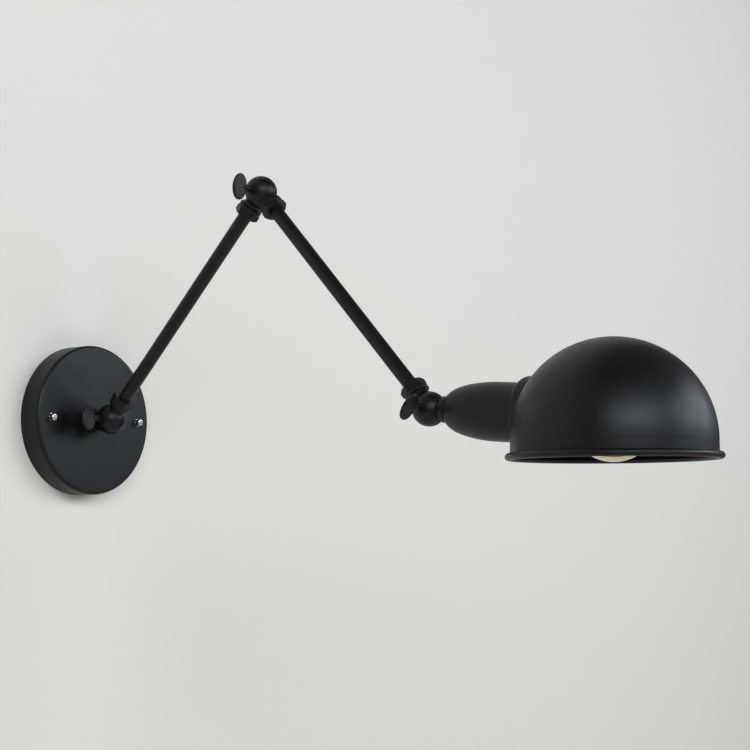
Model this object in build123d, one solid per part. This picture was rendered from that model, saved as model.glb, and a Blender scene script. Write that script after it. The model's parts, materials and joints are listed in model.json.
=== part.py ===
from build123d import *
import os
from math import acos, atan2, cos, degrees, hypot, radians, sin, sqrt, tan

# Wall lamp with two folding arms, three clamped ball knuckles and a dome shade.
# Millimetres and degrees. The origin is on the wall plane at the centre of the canopy.
# +Z is up, -Y points out of the wall, and X runs along the wall. All three pivots turn about X.

# ---- rest pose, measured from the horizontal that points straight out of the wall ----
ARM_1_ANGLE = 46.4  # first arm, upwards
ARM_2_ANGLE = -48.6  # second arm, downwards
HEAD_ANGLE = -4.6  # lamp holder, slightly downwards while the shade's rim stays level

# ---- clearances ----
THREAD_FIT = 0.05  # radial, between threads that are shown as plain cylinders
RUN_GAP = 0.3  # between faces that pass each other when a joint turns
WASHER_FIT = 0.05  # each side of a friction washer

# ---- screws and nuts ----
NUT_CHAMFER_ANGLE = 30.0  # of a nut's turned corners, from its face
PAN_HEAD_D = 7.6
PAN_HEAD_T = 2.6
PAN_EDGE_R = 1.0
DRIVER_SLOT = 1.1
DRIVER_SLOT_DEPTH = 1.1

# ---- canopy ----
CANOPY_D = 140.0
CANOPY_DEPTH = 23.1
CANOPY_WALL = 1.2
CANOPY_EDGE_R = 3.0
SCREW_SPACING = 109.0
SCREW_D = 4.0
SCREW_CLEARANCE = 0.3

# ---- mounting bar ----
BAR_WIDTH = 20.0
BAR_T = 2.0
BAR_STEP = 5.0  # the ends stand this far off the wall, clear of the screw heads
BAR_END = 7.0  # from each canopy screw to the end of the bar
WALL_SPACING = 64.0
SLOT_LENGTH = 14.0
SLOT_WIDTH = 5.0
CABLE_HOLE_D = 14.0
TAB_WIDTH = 34.0
TAB_REACH = 36.0
EARTH_X = 18.0
NUT_4_FLATS = 7.0
NUT_4_T = 3.2
EARTH_WASHER_D = 8.6
EARTH_WASHER_T = 0.8

# ---- cap nuts ----
CAP_NUT_D = 6.6
CAP_NUT_T = 5.6
CAP_FLANGE_D = 7.6
CAP_FLANGE_T = 1.0
CAP_GROOVE = 0.6

# ---- terminal block ----
POLE_PITCH = 11.0
POLE_COUNT = 3
POLE_WIDTH = 6.4
BLOCK_LENGTH = 16.0
BLOCK_HEIGHT = 12.0
BLOCK_WEB_HEIGHT = 6.0
BLOCK_WEB_LENGTH = 9.6
SLEEVE_HEIGHT = 4.8
SLEEVE_LENGTH = 14.4
SLEEVE_D = 5.0
SLEEVE_BORE = 3.4
FIXING_D = 2.5
FIXING_HEAD_D = 4.2
FIXING_HEAD_T = 1.75
FIXING_SLOT = 0.6
CLAMP_SCREW_D = 3.0
CLAMP_SCREW_TOP = 9.6
CLAMP_SCREW_PITCH = 9.0

# ---- ball knuckles ----
BALL_D = 28.0
WASHER_T = 0.8
WASHER_INNER_D = 19.2
WASHER_OUTER_D = 24.8
NECK_D = 16.0
NECK_REACH = 15.5  # from the pivot to the flange
FLANGE_D = 21.0
FLANGE_T = 4.0
FLANGE_EDGE = 0.8
SPIGOT_D = 10.0
SPIGOT_GRIP = 16.0
WIRE_BORE_D = 7.0
WIRE_BORE_START = 5.6  # from the pivot, in the wire pocket
POCKET_INNER_D = 9.2
POCKET_OUTER_D = 18.0
POCKET_DEPTH = 6.5
SPOT_FACE_DEPTH = 0.8
PIVOT_D = 5.0
BASE_REACH = 20.9  # from the first pivot to the face of the canopy
HEAD_NECK_REACH = 13.6
HEAD_FLANGE_D = 21.2
HEAD_FLANGE_T = 5.4

# ---- thumb screws ----
THUMB_COLLAR_D = 7.6
THUMB_COLLAR_T = 1.2
THUMB_REACH = 28.5  # from the pivot plane to the middle of the paddle
PADDLE_HEIGHT = 22.8
PADDLE_WIDTH = 16.5
PADDLE_T = 3.0
PADDLE_EDGE = 1.2
SCREW_TIP = 11.0
BASE_PADDLE_ANGLE = 0.0
ELBOW_PADDLE_ANGLE = 8.0
HEAD_PADDLE_ANGLE = 32.0

# ---- arms ----
ARM_LENGTH = 263.0
TUBE_D = 12.0
LOCK_NUT_FLATS = 19.5
LOCK_NUT_T = 6.0

# ---- canopy stack ----
COLLAR_D = 25.0
STACK_WASHER_D = 20.0
STACK_WASHER_T = 1.2
CANOPY_NUT_FLATS = 17.0
CANOPY_NUT_T = 4.0
SPIGOT_SPARE = 1.6  # thread that stands past a nut

# ---- lamp holder cup ----
CUP_D = 46.0
CUP_WALL = 1.2
CUP_END_D = 19.0
CUP_BULGE = 45.8  # from the small end to where the cup reaches its full diameter
CUP_FRONT = 86.4  # from the pivot to the shade
CUP_NUT_FLATS = 14.0
CUP_NUT_T = 4.0
CUP_WASHER_D = 17.0
CUP_WASHER_T = 1.0

# ---- lamp holder ----
COUPLER_FLATS = 14.0
COUPLER_T = 12.0
NIPPLE_GRIP = 6.0
HOLDER_D = 39.4
HOLDER_WALL = 1.8
HOLDER_LENGTH = 72.0
HOLDER_MOUTH = 24.4  # from the shade's boss to the mouth of the holder
HOLDER_CAP_T = 20.0
HOLDER_BOSS_D = 16.0
HOLDER_BOSS_T = 4.0
HOLDER_SHOULDER_D = 42.4
HOLDER_SHOULDER_T = 2.0
INSERT_DEPTH = 34.0  # from the mouth of the holder to the seat of the contact
INSERT_T = 24.0
INSERT_COLLAR_T = 8.0
SHELL_WALL = 0.4
SHELL_LENGTH = 22.0
CONTACT_T = 0.5
CONTACT_WIDTH = 6.0
CONTACT_LENGTH = 16.0
CONTACT_RISE = 1.4
SHADE_RING_D = 46.4
SHADE_RING_T = 7.0
RING_NOTCHES = 8
RING_NOTCH_WIDTH = 3.0
RING_NOTCH_DEPTH = 1.6

# ---- bulb, a 66 mm pear shape with a 27 mm screw cap ----
BULB_D = 66.0
BULB_CENTRE = 82.0  # from the tip to the centre of the round end
BULB_WALL = 0.8
BULB_NECK_D = 26.0
BULB_NECK_REACH = 32.0
CAP_D = 26.2
CAP_ROOT_D = 24.4
CAP_PITCH = 3.6
CAP_TURNS = 4
CAP_BACK = 4.0
CAP_LENGTH = 20.0
CAP_SHEET = 0.5
TIP_CONTACT_D = 9.0
TIP_CONTACT_T = 1.2
INSULATOR_D = 20.0
INSULATOR_STEP = 1.0
STEM_FLARE_T = 1.0
STEM_D = 6.0
STEM_REACH = 56.0
LEAD_D = 0.7
LEAD_SPREAD = 20.0
LEAD_REACH = 84.0
FILAMENT_D = 1.0
FILAMENT_RISE = 6.0

# ---- shade ----
SHADE_D = 150.2
SHADE_WALL = 1.0
DOME_SET = 1.5  # the dome's side lies this far behind the face of its boss
SHADE_DROP = 29.7  # from the head pivot down to the centre of the dome
SKIRT = 12.1  # from the centre of the dome down to the middle of the rolled rim
BEAD_D = 5.4
BEAD_OFFSET = 1.1  # from the outside of the skirt to the middle of the rolled rim
BOSS_D = 56.0
BOSS_EDGE_R = 4.5
BOSS_DEPTH = 30.0
BOSS_BLEND_R = 3.0  # where the boss runs into the dome
SHADE_HOLE_D = 40.4


# ---- places that follow from the sizes ----
def along(start, rise, distance):
    """The point at a distance from (y, z) start, in the direction that rises by so many degrees."""
    y, z = start
    return y - distance * cos(radians(rise)), z + distance * sin(radians(rise))


def link(start, rise):
    """A frame at (y, z) start whose +Z points along the rise and whose X is the pivot axis."""
    return Pos(0, *start) * Rot(90 - rise, 0, 0)


BASE_PIVOT = (-(CANOPY_DEPTH + BASE_REACH), 0.0)
ELBOW_PIVOT = along(BASE_PIVOT, ARM_1_ANGLE, ARM_LENGTH)
HEAD_PIVOT = along(ELBOW_PIVOT, ARM_2_ANGLE, ARM_LENGTH)
SHADE_PLACE = (HEAD_PIVOT[0] - CUP_FRONT - SHADE_D / 2 + DOME_SET, HEAD_PIVOT[1] - SHADE_DROP)
WALL = link((0.0, 0.0), 0)
STUB = link(BASE_PIVOT, 180)
ARM_1 = link(BASE_PIVOT, ARM_1_ANGLE)
ARM_1_END = link(ELBOW_PIVOT, ARM_1_ANGLE + 180)
ARM_2 = link(ELBOW_PIVOT, ARM_2_ANGLE)
ARM_2_END = link(HEAD_PIVOT, ARM_2_ANGLE + 180)
HEAD = link(HEAD_PIVOT, HEAD_ANGLE)
SHADE = Pos(0, *SHADE_PLACE)

FLANGE_FACE = NECK_REACH + FLANGE_T
TUBE_START = FLANGE_FACE + LOCK_NUT_T
THREAD_BORE_D = SPIGOT_D + 2 * THREAD_FIT
CUP_START = HEAD_NECK_REACH + HEAD_FLANGE_T
CUP_SHOULDER = CUP_START + CUP_BULGE
CUP_NUT_BACK = CUP_START + CUP_WALL + CUP_WASHER_T
COUPLER_BACK = CUP_NUT_BACK + CUP_NUT_T
HOLDER_INNER_D = HOLDER_D - 2 * HOLDER_WALL
HOLDER_FRONT = CUP_FRONT + HOLDER_MOUTH
HOLDER_BACK = HOLDER_FRONT - HOLDER_LENGTH
INSERT_FRONT = HOLDER_FRONT - INSERT_DEPTH
INSERT_BACK = INSERT_FRONT - INSERT_T
BULB_TIP = INSERT_FRONT + CONTACT_RISE + CONTACT_T + WASHER_FIT
CANOPY_INNER_FACE = BASE_REACH + CANOPY_WALL
STACK_END = CANOPY_INNER_FACE + STACK_WASHER_T + CANOPY_NUT_T + SPIGOT_SPARE


# ---- shapes used more than once ----
def rod(diameter, low, high):
    """A cylinder on Z between two heights."""
    return Pos(0, 0, (low + high) / 2) * Cylinder(diameter / 2, high - low)


def ring(outer, inner, low, high):
    """A plain ring on Z between two heights."""
    return rod(outer, low, high) - rod(inner, low - 1, high + 1)


def turned(*outline):
    """A solid turned about Z from (radius, height) corners."""
    return revolve(Plane.XZ * make_face(Polyline(*outline, close=True)), Axis.Z)


def cross_rod(diameter, low, high):
    """A cylinder on the pivot axis X between two places."""
    return Rot(0, 90, 0) * rod(diameter, low, high)


def hex_nut(flats, low, high, bore):
    """A hexagon nut on Z with its corners turned off at both ends."""
    thickness = high - low
    corner_r = flats / sqrt(3)
    chamfer = (corner_r - flats / 2) * tan(radians(NUT_CHAMFER_ANGLE))
    prism = extrude(RegularPolygon(flats / 2, 6, major_radius=False), thickness)
    barrel = turned(
        (0, 0),
        (flats / 2, 0),
        (corner_r, chamfer),
        (corner_r, thickness - chamfer),
        (flats / 2, thickness),
        (0, thickness),
    )
    return Pos(0, 0, low) * (prism & barrel) - rod(bore, low - 1, high + 1)


def pan_screw(diameter, head_face, tip):
    """A pan-head screw on Z: the head stands on head_face and the shank goes down to the tip."""
    head = rod(PAN_HEAD_D, head_face, head_face + PAN_HEAD_T)
    head = fillet(head.edges().group_by(Axis.Z)[-1], PAN_EDGE_R)
    slot = Pos(0, 0, head_face + PAN_HEAD_T) * Box(2 * PAN_HEAD_D, DRIVER_SLOT, 2 * DRIVER_SLOT_DEPTH)
    return head - slot + rod(diameter, tip, head_face)


# ---- wall side ----
def canopy():
    def cup(diameter, top, edge):
        solid = rod(diameter, 0, top)
        return fillet(solid.edges().group_by(Axis.Z)[-1], edge)

    inner_top = CANOPY_DEPTH - CANOPY_WALL
    shell = cup(CANOPY_D, CANOPY_DEPTH, CANOPY_EDGE_R)
    shell -= cup(CANOPY_D - 2 * CANOPY_WALL, inner_top, CANOPY_EDGE_R - CANOPY_WALL)
    shell -= rod(SPIGOT_D + SCREW_CLEARANCE, 0, CANOPY_DEPTH + 1)
    for x in (-SCREW_SPACING / 2, SCREW_SPACING / 2):
        shell -= Pos(x, 0, 0) * rod(SCREW_D + 2 * SCREW_CLEARANCE, 0, CANOPY_DEPTH + 1)
    return WALL * shell


def mounting_bar():
    half = SCREW_SPACING / 2 + BAR_END
    bend_out = SCREW_SPACING / 2 - BAR_END
    bend_in = bend_out - BAR_STEP
    lower = [(bend_in, 0), (bend_out, BAR_STEP), (half, BAR_STEP)]
    upper = [(x, z + BAR_T) for x, z in reversed(lower)]
    right = lower + upper
    left = [(-x, z) for x, z in reversed(right)]
    profile = Plane.XZ * make_face(Polyline(*right, *left, close=True))
    bar = extrude(profile, BAR_WIDTH / 2, both=True)
    tab_length = TAB_REACH - BAR_WIDTH / 4
    tab = Pos(0, -(TAB_REACH + BAR_WIDTH / 4) / 2, BAR_T / 2) * Box(TAB_WIDTH, tab_length, BAR_T)
    bar += fillet(tab.edges().filter_by(Axis.Z).group_by(Axis.Y)[0], BAR_T)
    bar -= rod(CABLE_HOLE_D, -1, BAR_T + 1)
    slot = extrude(SlotOverall(SLOT_LENGTH, SLOT_WIDTH), 2 * BAR_T, both=True)
    for side in (-1, 1):
        bar -= Pos(side * WALL_SPACING / 2, 0, 0) * slot
        bar -= Pos(side * SCREW_SPACING / 2, 0, 0) * rod(SCREW_D + 2 * THREAD_FIT, 0, 2 * BAR_STEP)
    bar -= Pos(EARTH_X, 0, 0) * rod(SCREW_D + 2 * THREAD_FIT, -1, BAR_T + 1)
    bar -= block_place() * fixing_place() * rod(FIXING_D + 2 * THREAD_FIT, -BAR_T - 1, 1)
    return WALL * bar


def bar_screws():
    tip = CANOPY_DEPTH + CAP_NUT_T - 2 * CAP_FLANGE_T
    screw = Rot(180, 0, 0) * pan_screw(SCREW_D, -BAR_STEP, -tip)
    return [WALL * Pos(side * SCREW_SPACING / 2, 0, 0) * screw for side in (-1, 1)]


def bar_screw_nuts():
    seat = BAR_STEP + BAR_T
    nut = hex_nut(NUT_4_FLATS, seat, seat + NUT_4_T, SCREW_D + 2 * THREAD_FIT)
    return [WALL * Pos(side * SCREW_SPACING / 2, 0, 0) * nut for side in (-1, 1)]


def canopy_cap_nuts():
    flange = rod(CAP_FLANGE_D, 0, CAP_FLANGE_T)
    waist = rod(CAP_NUT_D - CAP_GROOVE * 2, CAP_FLANGE_T, CAP_FLANGE_T + CAP_GROOVE)
    knob = rod(CAP_NUT_D, CAP_FLANGE_T + CAP_GROOVE, CAP_NUT_T)
    knob = fillet(knob.edges().group_by(Axis.Z)[-1], CAP_NUT_D / 6)
    nut = flange + waist + knob
    nut -= rod(SCREW_D + 2 * THREAD_FIT, -1, CAP_NUT_T - CAP_FLANGE_T)
    return [WALL * Pos(side * SCREW_SPACING / 2, 0, CANOPY_DEPTH) * nut for side in (-1, 1)]


def earth_washer():
    washer = ring(EARTH_WASHER_D, SCREW_D + 2 * THREAD_FIT, BAR_T, BAR_T + EARTH_WASHER_T)
    return WALL * Pos(EARTH_X, 0, 0) * washer


def earth_screw():
    return WALL * Pos(EARTH_X, 0, 0) * pan_screw(SCREW_D, BAR_T + EARTH_WASHER_T, THREAD_FIT)


# ---- terminal block ----
def block_place():
    """The block's frame: on the bar's tab, with the wires along Y and the screws along Z."""
    centre = -(BAR_WIDTH / 2 + TAB_REACH) / 2
    return Pos(0, centre, BAR_T)


def poles():
    first = -(POLE_COUNT - 1) / 2
    return [(first + index) * POLE_PITCH for index in range(POLE_COUNT)]


def clamp_places():
    return [(x, y) for x in poles() for y in (-CLAMP_SCREW_PITCH / 2, CLAMP_SCREW_PITCH / 2)]


def wire_rod(x, diameter, length):
    """A cylinder along the wires of the pole at x."""
    return Pos(x, 0, SLEEVE_HEIGHT) * Rot(90, 0, 0) * Cylinder(diameter / 2, length)


def terminal_block():
    span = poles()[-1] - poles()[0]
    block = Pos(0, 0, BLOCK_WEB_HEIGHT / 2) * Box(span, BLOCK_WEB_LENGTH, BLOCK_WEB_HEIGHT)
    for x in poles():
        pole = Pos(x, 0, BLOCK_HEIGHT / 2) * Box(POLE_WIDTH, BLOCK_LENGTH, BLOCK_HEIGHT)
        block += fillet(pole.edges().filter_by(Axis.Y).group_by(Axis.Z)[-1], POLE_WIDTH / 5)
    for x in poles():
        block -= wire_rod(x, SLEEVE_D + 2 * THREAD_FIT, 2 * BLOCK_LENGTH)
    for x, y in clamp_places():
        block -= Pos(x, y, 0) * rod(CLAMP_SCREW_D + 4 * THREAD_FIT, SLEEVE_HEIGHT, BLOCK_HEIGHT + 1)
    block -= fixing_place() * rod(FIXING_D + 2 * THREAD_FIT, -1, BLOCK_WEB_HEIGHT + 1)
    return WALL * block_place() * block


def terminal_sleeves():
    sleeves = []
    for x in poles():
        sleeve = wire_rod(x, SLEEVE_D, SLEEVE_LENGTH) - wire_rod(x, SLEEVE_BORE, BLOCK_LENGTH)
        for y in (-CLAMP_SCREW_PITCH / 2, CLAMP_SCREW_PITCH / 2):
            sleeve -= Pos(x, y, 0) * rod(CLAMP_SCREW_D + 2 * THREAD_FIT, SLEEVE_HEIGHT, BLOCK_HEIGHT)
        sleeves.append(WALL * block_place() * sleeve)
    return sleeves


def terminal_screws():
    screw = rod(CLAMP_SCREW_D, SLEEVE_HEIGHT + SLEEVE_BORE / 4, CLAMP_SCREW_TOP)
    screw -= Pos(0, 0, CLAMP_SCREW_TOP) * Box(2 * CLAMP_SCREW_D, FIXING_SLOT, CLAMP_SCREW_D / 2)
    return [WALL * block_place() * Pos(x, y, 0) * screw for x, y in clamp_places()]


def fixing_place():
    return Pos((poles()[0] + poles()[1]) / 2, 0, 0)


def terminal_fixing_screw():
    head_top = BLOCK_WEB_HEIGHT + FIXING_HEAD_T
    screw = rod(FIXING_D, -BAR_T, BLOCK_WEB_HEIGHT) + rod(FIXING_HEAD_D, BLOCK_WEB_HEIGHT, head_top)
    screw -= Pos(0, 0, head_top) * Box(2 * FIXING_HEAD_D, FIXING_SLOT, FIXING_HEAD_T)
    return WALL * block_place() * fixing_place() * screw


# ---- ball knuckles ----
# A half has its pivot at the origin and its neck along +Z. Side +1 is the threaded half and
# side -1 the clamped half, which the thumb screw passes through from outside.
def ball_part(diameter, side, split):
    """The part of a ball, turned about the pivot axis X, beyond the plane x = split."""
    room = Pos(split + side * BALL_D, 0, 0) * Box(2 * BALL_D, 4 * BALL_D, 4 * BALL_D)
    return Rot(0, 90, 0) * Sphere(diameter / 2) & room


def knuckle_half(side, neck_reach, flange_d, flange_t, spigot_end):
    split = side * WASHER_T / 2
    ball = ball_part(BALL_D, side, split)
    flange = rod(flange_d, neck_reach, neck_reach + flange_t)
    flange = fillet(flange.edges().filter_by(GeomType.CIRCLE), FLANGE_EDGE)
    neck = rod(NECK_D, BALL_D / 4, neck_reach + flange_t / 2) + flange
    # The neck is centred on the split, so it is hollowed to pass over the other half's ball.
    half = ball + (neck - ball_part(BALL_D + 2 * RUN_GAP, -side, split))
    half += rod(SPIGOT_D, neck_reach + flange_t / 2, spigot_end)
    # A ring-shaped pocket round the screw boss carries the wires past the pivot.
    pocket = cross_rod(POCKET_OUTER_D, -POCKET_DEPTH, POCKET_DEPTH)
    half -= pocket - cross_rod(POCKET_INNER_D, -BALL_D, BALL_D)
    half -= rod(WIRE_BORE_D, WIRE_BORE_START, spigot_end + 1)
    if side > 0:
        return half - cross_rod(PIVOT_D + 2 * THREAD_FIT, -BALL_D, BALL_D)
    half -= cross_rod(PIVOT_D + 2 * RUN_GAP, -BALL_D, BALL_D)
    return half - cross_rod(BALL_D, -BALL_D, -(BALL_D / 2 - SPOT_FACE_DEPTH))


def arm_half(side):
    return knuckle_half(side, NECK_REACH, FLANGE_D, FLANGE_T, FLANGE_FACE + SPIGOT_GRIP)


def wall_half():
    return knuckle_half(1, NECK_REACH, FLANGE_D, FLANGE_T, STACK_END)


def cup_half():
    spigot_end = COUPLER_BACK + NIPPLE_GRIP / 2
    return knuckle_half(-1, HEAD_NECK_REACH, HEAD_FLANGE_D, HEAD_FLANGE_T, spigot_end)


def friction_washer():
    thickness = WASHER_T - 2 * WASHER_FIT
    return Rot(0, 90, 0) * ring(WASHER_OUTER_D, WASHER_INNER_D, -thickness / 2, thickness / 2)


def thumb_screw(turn):
    """A screw on the pivot axis with an oval paddle on the -X side."""
    seat = BALL_D / 2 - SPOT_FACE_DEPTH
    collar_end = seat + THUMB_COLLAR_T
    paddle_start = THUMB_REACH - PADDLE_WIDTH / 2
    root = paddle_start + PADDLE_WIDTH / 3
    shank = cross_rod(PIVOT_D, -collar_end, SCREW_TIP)
    collar = cross_rod(THUMB_COLLAR_D, -collar_end, -seat - WASHER_FIT)
    collar = fillet(collar.edges().group_by(Axis.X)[0], THUMB_COLLAR_T / 3)
    stem = Rot(0, -90, 0) * turned(
        (0, seat),
        (PIVOT_D / 2, seat),
        (PIVOT_D / 2, collar_end),
        (PADDLE_T, paddle_start),
        (PADDLE_T / 2, root),
        (0, root),
    )
    oval = Rot(90, 0, 0) * extrude(Ellipse(PADDLE_WIDTH / 2, PADDLE_HEIGHT / 2), PADDLE_T / 2, both=True)
    oval = fillet(oval.edges().filter_by(GeomType.ELLIPSE), PADDLE_EDGE)
    paddle = Pos(-THUMB_REACH, 0, 0) * oval
    return Rot(turn, 0, 0) * (shank + collar + stem + paddle)


# ---- arms ----
def lock_nut():
    return hex_nut(LOCK_NUT_FLATS, FLANGE_FACE, TUBE_START, THREAD_BORE_D)


def arm_tube():
    return ring(TUBE_D, THREAD_BORE_D, TUBE_START, ARM_LENGTH - TUBE_START)


# ---- stub through the canopy ----
def canopy_collar():
    collar = rod(COLLAR_D, FLANGE_FACE, BASE_REACH)
    collar = fillet(collar.edges().group_by(Axis.Z)[0], FLANGE_EDGE)
    return STUB * (collar - rod(THREAD_BORE_D, 0, 2 * BASE_REACH))


def canopy_washer():
    back = CANOPY_INNER_FACE
    return STUB * ring(STACK_WASHER_D, THREAD_BORE_D, back, back + STACK_WASHER_T)


def canopy_nut():
    back = CANOPY_INNER_FACE + STACK_WASHER_T
    return STUB * hex_nut(CANOPY_NUT_FLATS, back, back + CANOPY_NUT_T, THREAD_BORE_D)


# ---- lamp holder cup ----
def cup_solid(diameter, end_d, back, front):
    """The egg-shaped outline of the cup: a quarter ellipse from its small end to full diameter."""
    end_r = end_d / 2
    full_r = diameter / 2
    start = Line((0, back), (end_r, back))
    centre = (end_r, CUP_SHOULDER)
    bulge = EllipticalCenterArc(centre, full_r - end_r, CUP_SHOULDER - back, -90, arc_size=90)
    side = Polyline((full_r, CUP_SHOULDER), (full_r, front), (0, front), (0, back))
    return revolve(Plane.XZ * make_face([start, bulge, side]), Axis.Z)


def socket_cup():
    cup = cup_solid(CUP_D, CUP_END_D, CUP_START, CUP_FRONT)
    cup -= cup_solid(CUP_D - 2 * CUP_WALL, CUP_END_D, CUP_START + CUP_WALL, CUP_FRONT + 1)
    return HEAD * (cup - rod(THREAD_BORE_D, 0, 2 * CUP_START))


def cup_washer():
    back = CUP_START + CUP_WALL
    return HEAD * ring(CUP_WASHER_D, THREAD_BORE_D, back, back + CUP_WASHER_T)


def cup_nut():
    return HEAD * hex_nut(CUP_NUT_FLATS, CUP_NUT_BACK, COUPLER_BACK, THREAD_BORE_D)


# ---- lamp holder ----
def holder_coupler():
    return HEAD * hex_nut(COUPLER_FLATS, COUPLER_BACK, COUPLER_BACK + COUPLER_T, THREAD_BORE_D)


def holder_nipple():
    back = COUPLER_BACK + COUPLER_T - NIPPLE_GRIP
    return HEAD * ring(SPIGOT_D, WIRE_BORE_D, back, HOLDER_BACK + NIPPLE_GRIP)


def holder_cap():
    front = HOLDER_BACK + HOLDER_CAP_T
    neck = HOLDER_BACK + HOLDER_BOSS_T
    outer_r = HOLDER_D / 2
    inner_r = HOLDER_INNER_D / 2
    boss_r = HOLDER_BOSS_D / 2
    shoulder = neck + outer_r - boss_r
    shell = turned(
        (THREAD_BORE_D / 2, HOLDER_BACK),
        (boss_r, HOLDER_BACK),
        (boss_r, neck),
        (outer_r - HOLDER_WALL, shoulder - HOLDER_WALL * 2),
        (outer_r, shoulder),
        (outer_r, front),
        (inner_r, front),
        (inner_r, shoulder),
        (boss_r, neck + HOLDER_WALL),
        (THREAD_BORE_D / 2, neck + HOLDER_WALL),
    )
    return HEAD * shell


def holder_insert():
    body_r = HOLDER_INNER_D / 2 - THREAD_FIT
    collar_inner = CAP_D / 2 + SHELL_WALL + 3 * THREAD_FIT
    collar_front = INSERT_FRONT + INSERT_COLLAR_T
    insert = turned(
        (0, INSERT_BACK + HOLDER_BOSS_T),
        (body_r / 2, INSERT_BACK),
        (body_r, INSERT_BACK + HOLDER_BOSS_T),
        (body_r, INSERT_FRONT),
        (collar_inner + HOLDER_WALL, INSERT_FRONT + HOLDER_WALL),
        (collar_inner + HOLDER_WALL, collar_front),
        (collar_inner, collar_front),
        (collar_inner, INSERT_FRONT),
        (0, INSERT_FRONT),
    )
    for x in (-body_r / 2, body_r / 2):
        insert -= Pos(x, 0, 0) * rod(WIRE_BORE_D / 2, INSERT_BACK, (INSERT_BACK + INSERT_FRONT) / 2)
    return HEAD * insert


def holder_shell():
    inner = CAP_D + 4 * THREAD_FIT
    return HEAD * ring(inner + 2 * SHELL_WALL, inner, INSERT_FRONT, INSERT_FRONT + SHELL_LENGTH)


def holder_contact():
    """A bent spring leaf that presses on the bulb's tip."""
    half = CONTACT_LENGTH / 2
    rise = CONTACT_RISE
    lower = [(-half, 0), (-half / 2, 0), (-half / 6, rise), (half / 3, rise), (half / 2, rise / 2)]
    upper = [(x, z + CONTACT_T) for x, z in reversed(lower)]
    leaf = extrude(Plane.XZ * make_face(Polyline(*lower, *upper, close=True)), CONTACT_WIDTH / 2, both=True)
    return HEAD * Pos(0, 0, INSERT_FRONT) * leaf


def holder_skirt():
    outer_r = HOLDER_D / 2
    shoulder_r = HOLDER_SHOULDER_D / 2
    shoulder = CUP_FRONT - HOLDER_SHOULDER_T
    skirt = turned(
        (HOLDER_INNER_D / 2, HOLDER_BACK + HOLDER_CAP_T),
        (outer_r, HOLDER_BACK + HOLDER_CAP_T),
        (outer_r, shoulder),
        (shoulder_r, shoulder),
        (shoulder_r, CUP_FRONT),
        (outer_r, CUP_FRONT),
        (outer_r, HOLDER_FRONT),
        (HOLDER_INNER_D / 2, HOLDER_FRONT),
    )
    return HEAD * skirt


def shade_ring():
    back = CUP_FRONT + SHADE_WALL
    threaded = ring(SHADE_RING_D, HOLDER_D + 2 * THREAD_FIT, back, back + SHADE_RING_T)
    notch = Pos(SHADE_RING_D / 2, 0, back + SHADE_RING_T) * Box(
        2 * RING_NOTCH_DEPTH, RING_NOTCH_WIDTH, SHADE_RING_T
    )
    for index in range(RING_NOTCHES):
        threaded -= Rot(0, 0, index * 360 / RING_NOTCHES) * notch
    return HEAD * threaded


# ---- bulb, in a frame whose origin is the bulb's tip ----
def bulb_frame():
    return HEAD * Pos(0, 0, BULB_TIP)


def bulb_envelope(radius, neck_r, back):
    """The round end, the straight flank that touches it, and the neck."""
    away = hypot(neck_r, BULB_CENTRE - BULB_NECK_REACH)
    lean = atan2(neck_r, BULB_CENTRE - BULB_NECK_REACH) + acos(radius / away)
    touch = (radius * sin(lean), BULB_CENTRE - radius * cos(lean))
    flank = Polyline((0, back), (neck_r, back), (neck_r, BULB_NECK_REACH), touch)
    crown = CenterArc((0, BULB_CENTRE), radius, degrees(lean) - 90, 180 - degrees(lean))
    axis = Line((0, BULB_CENTRE + radius), (0, back))
    return revolve(Plane.XZ * make_face([flank, crown, axis]), Axis.Z)


def bulb_glass():
    back = CAP_BACK + CAP_LENGTH
    inside = bulb_envelope(BULB_D / 2 - BULB_WALL, BULB_NECK_D / 2 - BULB_WALL, back)
    return bulb_frame() * (bulb_envelope(BULB_D / 2, BULB_NECK_D / 2, back) - inside)


def bulb_cap():
    """The screw shell, its rounded thread shown as ridges."""
    front = CAP_BACK + CAP_LENGTH
    root_r = CAP_ROOT_D / 2
    crest_r = CAP_D / 2
    ridge_start = CAP_BACK + (CAP_LENGTH - CAP_TURNS * CAP_PITCH) / 2
    edges = [Polyline((INSULATOR_D / 2, CAP_BACK), (root_r, CAP_BACK), (root_r, ridge_start))]
    for turn in range(CAP_TURNS):
        low = ridge_start + turn * CAP_PITCH
        middle = low + CAP_PITCH / 2
        edges.append(ThreePointArc((root_r, low), (crest_r, middle), (root_r, low + CAP_PITCH)))
    top = ridge_start + CAP_TURNS * CAP_PITCH
    inner_r = root_r - CAP_SHEET
    edges.append(
        Polyline(
            (root_r, top),
            (root_r, front),
            (inner_r, front),
            (inner_r, CAP_BACK + CAP_SHEET),
            (INSULATOR_D / 2, CAP_BACK + CAP_SHEET),
            (INSULATOR_D / 2, CAP_BACK),
        )
    )
    return bulb_frame() * revolve(Plane.XZ * make_face(edges), Axis.Z)


def bulb_insulator():
    cone = turned(
        (0, TIP_CONTACT_T),
        (TIP_CONTACT_D / 2 + INSULATOR_STEP, TIP_CONTACT_T),
        (INSULATOR_D / 2 - THREAD_FIT, CAP_BACK),
        (INSULATOR_D / 2 - THREAD_FIT, CAP_BACK + 2 * CAP_SHEET),
        (0, CAP_BACK + 2 * CAP_SHEET),
    )
    return bulb_frame() * cone


def bulb_contact():
    disc = rod(TIP_CONTACT_D, 0, TIP_CONTACT_T)
    return bulb_frame() * fillet(disc.edges().group_by(Axis.Z)[0], TIP_CONTACT_T / 2)


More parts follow.
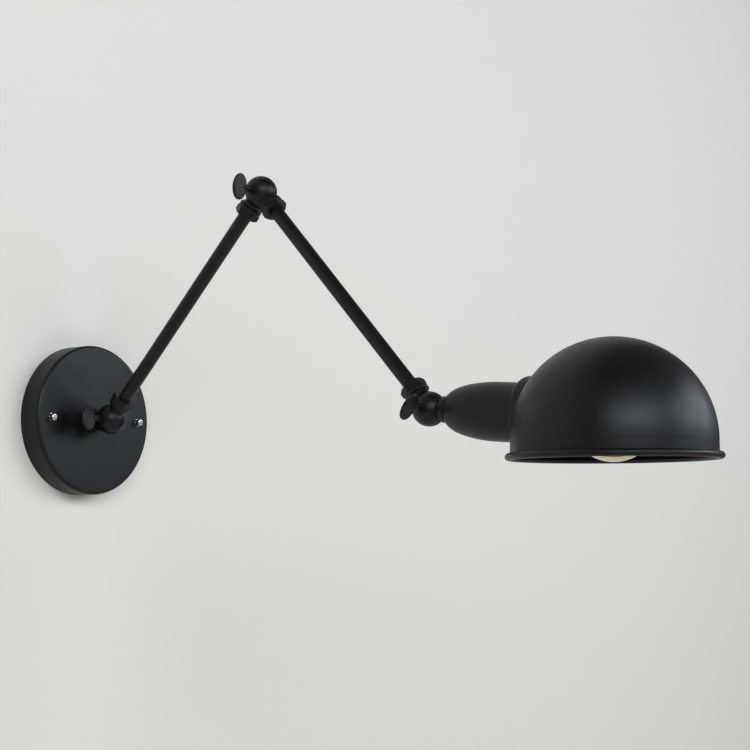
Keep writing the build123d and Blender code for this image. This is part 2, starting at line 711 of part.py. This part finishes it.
def bulb_stem():
    """The glass mount: a flare that closes the neck and a rod that carries the wires."""
    flare_r = BULB_NECK_D / 2 - BULB_WALL - THREAD_FIT
    back = CAP_BACK + CAP_LENGTH
    mount = turned(
        (0, back),
        (flare_r, back),
        (flare_r, back + STEM_FLARE_T),
        (STEM_D / 2, back + STEM_D * 2),
        (STEM_D / 2, STEM_REACH),
        (0, STEM_REACH),
    )
    return bulb_frame() * mount


def lead_ends():
    return [(side * STEM_D / 4, side * LEAD_SPREAD / 2) for side in (-1, 1)]


def bulb_leads():
    leads = []
    for foot, head in lead_ends():
        path = Line((foot, 0, STEM_REACH + LEAD_D / 4), (head, 0, LEAD_REACH))
        leads.append(bulb_frame() * sweep(Plane(path @ 0, z_dir=path % 0) * Circle(LEAD_D / 2), path))
    return leads


def bulb_filament():
    half = LEAD_SPREAD / 2
    foot = LEAD_REACH + FILAMENT_D / 2
    path = ThreePointArc((-half, 0, foot), (0, 0, foot + FILAMENT_RISE), (half, 0, foot))
    return bulb_frame() * sweep(Plane(path @ 0, z_dir=path % 0) * Circle(FILAMENT_D / 2), path)


# ---- shade ----
def dome_solid(inset):
    """The dome and its skirt, drawn in by the wall thickness for the inside."""
    radius = SHADE_D / 2 - inset
    low = -SKIRT - BEAD_D * (1 if inset else 0)
    dome = Sphere(radius) & (Pos(0, 0, radius) * Box(4 * radius, 4 * radius, 2 * radius))
    return dome + rod(2 * radius, low, 0)


def boss_solid(inset):
    """The round boss that the cup sits against, in the lamp holder's frame."""
    boss = rod(BOSS_D - 2 * inset, CUP_FRONT + inset, CUP_FRONT + BOSS_DEPTH)
    return HEAD * fillet(boss.edges().group_by(Axis.Z)[0], BOSS_EDGE_R - inset)


def blended(inset, blend_r):
    """Dome and boss as one solid, with a fillet along the curve where they meet."""
    whole = SHADE * dome_solid(inset) + boss_solid(inset)
    return fillet(whole.edges().filter_by(GeomType.BSPLINE), blend_r)


def shade():
    shell = blended(0, BOSS_BLEND_R) - blended(SHADE_WALL, BOSS_BLEND_R + SHADE_WALL)
    bead = SHADE * Pos(0, 0, -SKIRT) * Torus(SHADE_D / 2 + BEAD_OFFSET, BEAD_D / 2)
    return shell + bead - HEAD * rod(SHADE_HOLE_D, CUP_FRONT - 1, CUP_FRONT + 2 * SHADE_WALL)


# ---- the lamp ----
REPEATED = {
    "base_knuckle_fixed": STUB * wall_half(),
    "base_friction_washer": STUB * friction_washer(),
    "base_thumb_screw": Pos(0, *BASE_PIVOT) * thumb_screw(BASE_PADDLE_ANGLE),
    "base_knuckle_moving": ARM_1 * arm_half(-1),
    "arm1_base_nut": ARM_1 * lock_nut(),
    "arm1_tube": ARM_1 * arm_tube(),
    "arm1_elbow_nut": ARM_1_END * lock_nut(),
    "elbow_knuckle_lower": ARM_1_END * arm_half(1),
    "elbow_friction_washer": ARM_1_END * friction_washer(),
    "elbow_thumb_screw": Pos(0, *ELBOW_PIVOT) * thumb_screw(ELBOW_PADDLE_ANGLE),
    "elbow_knuckle_upper": ARM_2 * arm_half(-1),
    "arm2_elbow_nut": ARM_2 * lock_nut(),
    "arm2_tube": ARM_2 * arm_tube(),
    "arm2_head_nut": ARM_2_END * lock_nut(),
    "head_knuckle_arm": ARM_2_END * arm_half(1),
    "head_friction_washer": ARM_2_END * friction_washer(),
    "head_thumb_screw": Pos(0, *HEAD_PIVOT) * thumb_screw(HEAD_PADDLE_ANGLE),
    "head_knuckle_cup": HEAD * cup_half(),
}
SINGLE = (
    canopy,
    mounting_bar,
    bar_screws,
    bar_screw_nuts,
    canopy_cap_nuts,
    earth_washer,
    earth_screw,
    terminal_block,
    terminal_sleeves,
    terminal_screws,
    terminal_fixing_screw,
    canopy_collar,
    canopy_washer,
    canopy_nut,
    socket_cup,
    cup_washer,
    cup_nut,
    holder_coupler,
    holder_nipple,
    holder_cap,
    holder_insert,
    holder_shell,
    holder_contact,
    holder_skirt,
    shade_ring,
    shade,
    bulb_glass,
    bulb_cap,
    bulb_insulator,
    bulb_contact,
    bulb_stem,
    bulb_leads,
    bulb_filament,
)

os.makedirs("parts", exist_ok=True)
PIECES = REPEATED | {make.__name__: make() for make in SINGLE}
for node, made in PIECES.items():
    whole = Compound(children=made) if isinstance(made, list) else made
    export_step(whole, f"parts/{node}.step")
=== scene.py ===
import json
from math import cos, pi, radians, sin

import bmesh
import bpy
from mathutils import Matrix, Vector

# Looks, lights and camera for the folding wall lamp. Metres; -Y points out of the wall.
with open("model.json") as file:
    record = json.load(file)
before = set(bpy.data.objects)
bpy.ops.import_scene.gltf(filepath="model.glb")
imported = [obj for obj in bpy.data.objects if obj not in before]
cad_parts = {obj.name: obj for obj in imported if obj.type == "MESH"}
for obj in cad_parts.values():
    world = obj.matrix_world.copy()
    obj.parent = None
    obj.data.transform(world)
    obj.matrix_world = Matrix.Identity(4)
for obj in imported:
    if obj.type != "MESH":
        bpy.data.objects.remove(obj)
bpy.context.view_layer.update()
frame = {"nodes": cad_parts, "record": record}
NODES = frame["nodes"]
SLOT_OF = {part["node"]: part["material_slot"] for part in frame["record"]["subparts"]}

# ---- camera: fitted to the photograph's points ----
CAMERA_AT = Vector((-0.971, -1.044, -0.090))
CAMERA_YAW = radians(54.31)  # from +Y towards +X
CAMERA_PITCH = radians(5.41)
CAMERA_ROLL = radians(-0.29)
CAMERA_NEAR = 0.05
FOCAL_PIXELS = 1477
IMAGE_PIXELS = 750
SENSOR_MM = 36.0

# ---- light: two soft windows in front of the wall, and a dim white room ----
ROOM_LIGHT = 0.1
WINDOW_AIM = (0.0, -0.5, 0.0)
WINDOWS = {  # name: place, width and height, watts, colour
    "window_right": ((1.45, -2.5, 0.85), (3.0, 1.1), 48, (0.8, 0.92, 1.0)),
    "window_left": ((-1.45, -2.4, 0.95), (2.6, 1.0), 52, (0.82, 0.93, 1.0)),
}

# ---- backdrop: a pale wall that runs into a pale floor ----
BACKDROP_COLOUR = (0.8, 0.74, 0.67)
BACKDROP_HALF_WIDTH = 3.0
WALL_TOP = 2.4
WALL_BEHIND = 0.0004  # behind the canopy's rim
FLOOR_Z = -1.1
FLOOR_REACH = 4.5
BEND_RADIUS = 0.5
BEND_STEPS = 12

# ---- textures ----
NOISE_LOW = 0.3  # nearly all of a noise's values lie between these two
NOISE_HIGH = 0.7
GLASS_IOR = 1.45


# ---- materials ----
class Shader:
    """A principled material whose nodes are added one by one."""

    def __init__(self, name, colour, roughness, metallic=0.0):
        self.name = name
        self.material = bpy.data.materials.new(name)
        self.material.use_nodes = True
        self.tree = self.material.node_tree
        self.bsdf = self.tree.nodes["Principled BSDF"]
        self.bsdf.inputs["Base Color"].default_value = (*colour, 1.0)
        self.bsdf.inputs["Roughness"].default_value = roughness
        self.bsdf.inputs["Metallic"].default_value = metallic
        self.place = self.node("ShaderNodeTexCoord").outputs["Object"]
        self.normal = None

    def node(self, kind, **values):
        made = self.tree.nodes.new(kind)
        for key, value in values.items():
            setattr(made, key, value)
        return made

    def join(self, start, end):
        self.tree.links.new(start, end)

    def set(self, **values):
        """Sets sockets by name, with an underscore for each space."""
        for key, value in values.items():
            self.bsdf.inputs[key.replace("_", " ")].default_value = value

    def noise(self, size, detail=2.0, stretch=(1, 1, 1)):
        """Noise whose blotches are about `size` metres across."""
        scaled = self.node("ShaderNodeMapping")
        scaled.inputs["Scale"].default_value = [s / size for s in stretch]
        self.join(self.place, scaled.inputs["Vector"])
        made = self.node("ShaderNodeTexNoise")
        made.inputs["Scale"].default_value = 1.0
        made.inputs["Detail"].default_value = detail
        self.join(scaled.outputs["Vector"], made.inputs["Vector"])
        return made.outputs["Fac"]

    def spread(self, value, low, high):
        """A noise's usual range, mapped to low..high."""
        mapped = self.node("ShaderNodeMapRange")
        mapped.inputs["From Min"].default_value = NOISE_LOW
        mapped.inputs["From Max"].default_value = NOISE_HIGH
        mapped.inputs["To Min"].default_value = low
        mapped.inputs["To Max"].default_value = high
        self.join(value, mapped.inputs["Value"])
        return mapped.outputs["Result"]

    def vary_roughness(self, value, low, high):
        self.join(self.spread(value, low, high), self.bsdf.inputs["Roughness"])

    def vary_colour(self, value, dark, light):
        mixed = self.node("ShaderNodeMix", data_type="RGBA")
        mixed.inputs["A"].default_value = (*dark, 1.0)
        mixed.inputs["B"].default_value = (*light, 1.0)
        self.join(self.spread(value, 0.0, 1.0), mixed.inputs["Factor"])
        self.join(mixed.outputs["Result"], self.bsdf.inputs["Base Color"])

    def bump(self, value, height, strength=1.0):
        """Adds relief of a height in metres to what earlier calls added."""
        made = self.node("ShaderNodeBump")
        made.inputs["Distance"].default_value = height
        made.inputs["Strength"].default_value = strength
        self.join(value, made.inputs["Height"])
        if self.normal:
            self.join(self.normal, made.inputs["Normal"])
        self.normal = made.outputs["Normal"]
        self.join(self.normal, self.bsdf.inputs["Normal"])


def black_paint():
    """Matte black powder coat: a fine grain over a slow unevenness."""
    paint = Shader("black_paint", (0.003, 0.003, 0.003), 0.42)
    paint.set(Specular_IOR_Level=0.28)
    paint.vary_colour(paint.noise(0.03, 4), (0.0022, 0.0021, 0.002), (0.004, 0.004, 0.0041))
    paint.vary_roughness(paint.noise(0.012, 5), 0.38, 0.46)
    paint.bump(paint.noise(0.0009, 2), 0.00002, 0.6)
    paint.bump(paint.noise(0.006, 1), 0.00004, 0.5)
    return paint


def metal(name, dark, light, rough, grain, stretch=(1, 1, 1)):
    """A bare or plated metal with drawn or turned grain."""
    made = Shader(name, light, sum(rough) / 2, 1.0)
    made.vary_colour(made.noise(0.01, 4), dark, light)
    made.vary_roughness(made.noise(grain * 6, 4, stretch), *rough)
    made.bump(made.noise(grain, 2, stretch), 0.00001, 0.5)
    return made


def plastic(name, dark, light, rough, grain=0.0006):
    """A moulded plastic with a finely eroded mould surface."""
    made = Shader(name, light, sum(rough) / 2)
    made.vary_colour(made.noise(0.008, 4), dark, light)
    made.vary_roughness(made.noise(0.004, 4), *rough)
    made.bump(made.noise(grain, 3), 0.00002, 0.5)
    return made


def glass(name, tint, roughness):
    """Blown glass, faintly wavy."""
    made = Shader(name, tint, roughness)
    made.set(Transmission_Weight=1.0, IOR=GLASS_IOR, Specular_IOR_Level=0.5)
    made.vary_roughness(made.noise(0.02, 3), roughness, roughness + 0.02)
    made.bump(made.noise(0.012, 1), 0.00008, 0.4)
    return made


def finishes():
    """The material of every slot."""
    shaders = [
        black_paint(),
        metal("chrome", (0.5, 0.51, 0.53), (0.62, 0.63, 0.65), (0.12, 0.22), 0.0004),
        metal("zinc_steel", (0.48, 0.5, 0.53), (0.64, 0.65, 0.67), (0.28, 0.42), 0.0005, (1, 6, 1)),
        metal("brass", (0.68, 0.47, 0.18), (0.83, 0.62, 0.3), (0.2, 0.36), 0.0005, (6, 1, 1)),
        plastic("black_phenolic", (0.012, 0.012, 0.012), (0.022, 0.021, 0.02), (0.28, 0.4)),
        plastic("holder_core", (0.66, 0.63, 0.57), (0.76, 0.74, 0.69), (0.2, 0.32)),
        plastic("white_nylon", (0.78, 0.77, 0.72), (0.86, 0.85, 0.81), (0.42, 0.55)),
        glass("bulb_glass", (1.0, 0.84, 0.6), 0.0),
        glass("stem_glass", (0.96, 0.97, 0.96), 0.02),
        metal("cap_aluminium", (0.66, 0.66, 0.68), (0.8, 0.8, 0.81), (0.2, 0.34), 0.0004, (1, 1, 6)),
        plastic("insulator", (0.012, 0.012, 0.014), (0.03, 0.03, 0.034), (0.1, 0.2)),
        metal("nickel_wire", (0.5, 0.48, 0.44), (0.66, 0.64, 0.6), (0.22, 0.34), 0.0003),
        metal("tungsten", (0.2, 0.2, 0.21), (0.34, 0.34, 0.35), (0.35, 0.5), 0.0003),
    ]
    return {shader.name: shader.material for shader in shaders}


def dress_nodes():
    """Gives each CAD node the finish that is named after its material slot."""
    made = finishes()
    for node, piece in NODES.items():
        piece.data.materials.clear()
        piece.data.materials.append(made[SLOT_OF[node]])


# ---- backdrop ----
def backdrop_paint():
    """Matte wall paint, seen from the room side only."""
    paint = Shader("backdrop_paint", BACKDROP_COLOUR, 0.9)
    paint.set(Specular_IOR_Level=0.1)
    side = paint.node("ShaderNodeNewGeometry").outputs["Backfacing"]
    clear = paint.node("ShaderNodeBsdfTransparent")
    mixed = paint.node("ShaderNodeMixShader")
    paint.join(side, mixed.inputs["Fac"])
    paint.join(paint.bsdf.outputs["BSDF"], mixed.inputs[1])
    paint.join(clear.outputs["BSDF"], mixed.inputs[2])
    paint.join(mixed.outputs["Shader"], paint.tree.nodes["Material Output"].inputs["Surface"])
    return paint.material


def backdrop():
    """A wall behind the canopy, bent into the floor by a quarter round."""
    bend_y = WALL_BEHIND - BEND_RADIUS
    bend_z = FLOOR_Z + BEND_RADIUS
    outline = [(WALL_BEHIND, WALL_TOP)]
    for step in range(BEND_STEPS + 1):
        turn = step / BEND_STEPS * pi / 2
        outline.append((bend_y + BEND_RADIUS * cos(turn), bend_z - BEND_RADIUS * sin(turn)))
    outline.append((-FLOOR_REACH, FLOOR_Z))
    mesh = bmesh.new()
    ends = (-BACKDROP_HALF_WIDTH, BACKDROP_HALF_WIDTH)
    rows = [[mesh.verts.new((x, y, z)) for x in ends] for y, z in outline]
    for upper, lower in zip(rows, rows[1:]):
        mesh.faces.new((upper[0], lower[0], lower[1], upper[1])).smooth = True
    data = bpy.data.meshes.new("backdrop")
    mesh.to_mesh(data)
    mesh.free()
    data.materials.append(backdrop_paint())
    sheet = bpy.data.objects.new("backdrop", data)
    bpy.context.scene.collection.objects.link(sheet)


# ---- light ----
def window(name, place, size, power, colour):
    data = bpy.data.lights.new(name, "AREA")
    data.shape = "RECTANGLE"
    data.size, data.size_y = size
    data.energy = power
    data.color = colour
    lamp = bpy.data.objects.new(name, data)
    lamp.location = place
    lamp.rotation_euler = (Vector(WINDOW_AIM) - Vector(place)).to_track_quat("-Z", "Y").to_euler()
    bpy.context.scene.collection.objects.link(lamp)


def room():
    """White light on the object, and the backdrop's colour where the camera looks past it."""
    world = bpy.data.worlds.new("room")
    bpy.context.scene.world = world
    world.use_nodes = True
    tree = world.node_tree
    light = tree.nodes["Background"]
    light.inputs["Color"].default_value = (1.0, 1.0, 1.0, 1.0)
    light.inputs["Strength"].default_value = ROOM_LIGHT
    seen = tree.nodes.new("ShaderNodeBackground")
    seen.inputs["Color"].default_value = (*BACKDROP_COLOUR, 1.0)
    path = tree.nodes.new("ShaderNodeLightPath")
    mixed = tree.nodes.new("ShaderNodeMixShader")
    tree.links.new(path.outputs["Is Camera Ray"], mixed.inputs["Fac"])
    tree.links.new(light.outputs["Background"], mixed.inputs[1])
    tree.links.new(seen.outputs["Background"], mixed.inputs[2])
    tree.links.new(mixed.outputs["Shader"], tree.nodes["World Output"].inputs["Surface"])


# ---- camera ----
def photo_camera():
    data = bpy.data.cameras.new("photo_camera")
    data.sensor_width = SENSOR_MM
    data.lens = FOCAL_PIXELS / IMAGE_PIXELS * SENSOR_MM
    data.clip_start = CAMERA_NEAR
    level = cos(CAMERA_PITCH)
    ahead = Vector((sin(CAMERA_YAW) * level, cos(CAMERA_YAW) * level, sin(CAMERA_PITCH)))
    right = Vector((cos(CAMERA_YAW), -sin(CAMERA_YAW), 0.0))
    up = right.cross(ahead)
    axes = Matrix((right, up, -ahead)).transposed().to_4x4()
    camera = bpy.data.objects.new("photo_camera", data)
    camera.matrix_world = Matrix.Translation(CAMERA_AT) @ axes @ Matrix.Rotation(CAMERA_ROLL, 4, "Z")
    bpy.context.scene.collection.objects.link(camera)
    bpy.context.scene.camera = camera


dress_nodes()
backdrop()
room()
for name, facts in WINDOWS.items():
    window(name, *facts)
photo_camera()
bpy.context.scene.view_settings.view_transform = "Standard"
